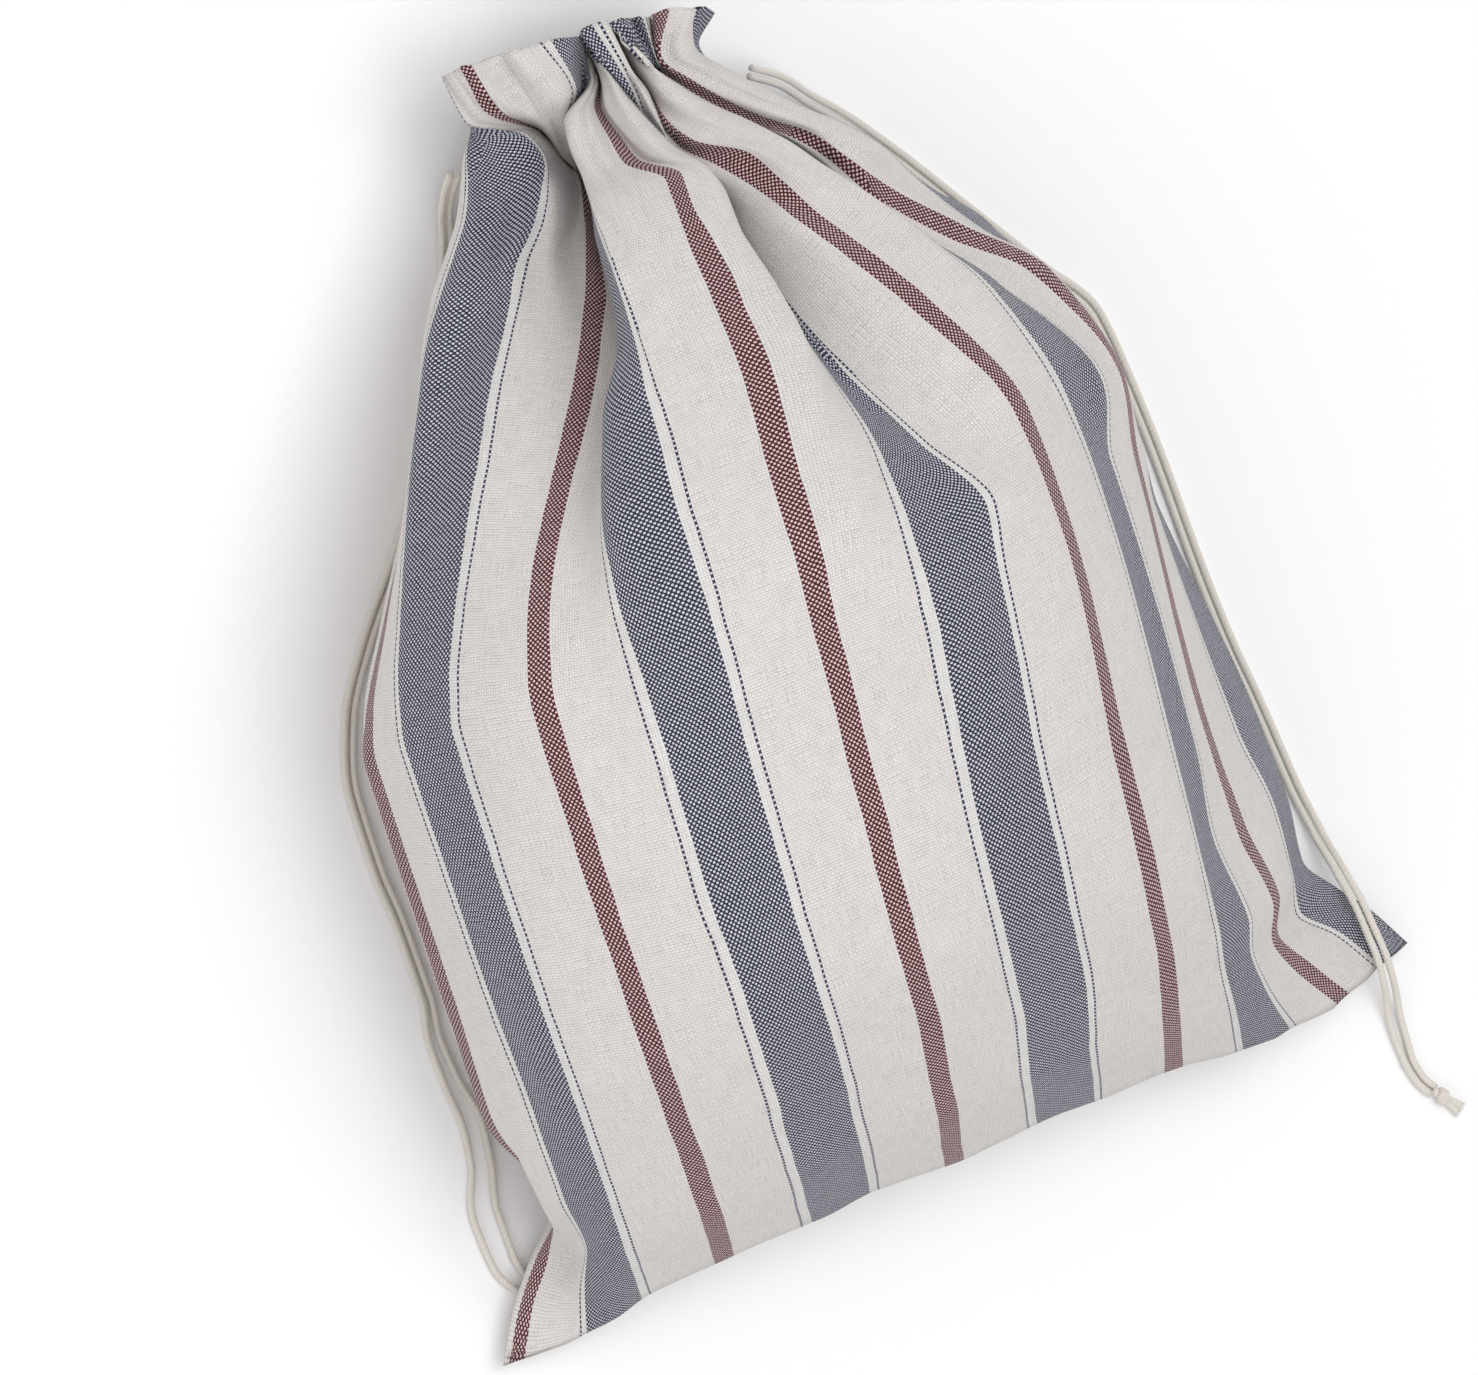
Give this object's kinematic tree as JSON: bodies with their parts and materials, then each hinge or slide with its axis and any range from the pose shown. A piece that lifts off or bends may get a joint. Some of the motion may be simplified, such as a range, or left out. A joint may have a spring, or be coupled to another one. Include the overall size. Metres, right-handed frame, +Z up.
{
  "type": "linen bread bag",
  "caption": "Drawstring bread bag of striped linen, drawn shut, puffed out and lying on its back, with its cords run down both sides to knots.",
  "frame": {"origin": "on the surface that the bag lies on, below the middle of the cloth's bounding box, cords and knots left out", "axes": "+Y from the folded foot to the neck, +X to the right as the bag is looked down on, +Z up from the back that it lies on to the puffed face"},
  "size_m": [0.2472, 0.3309, 0.119],
  "materials": {
    "linen": "plain-weave linen, undyed, with warp stripes of navy and maroon yarn",
    "cord": "undyed braided cotton cord"
  },
  "bodies": {
    "root": {"bag_cloth": "linen", "cord_left_a": "cord", "cord_left_b": "cord", "cord_right_a": "cord", "cord_right_b": "cord", "knot_left": "cord", "knot_right": "cord"}
  },
  "joints": []
}
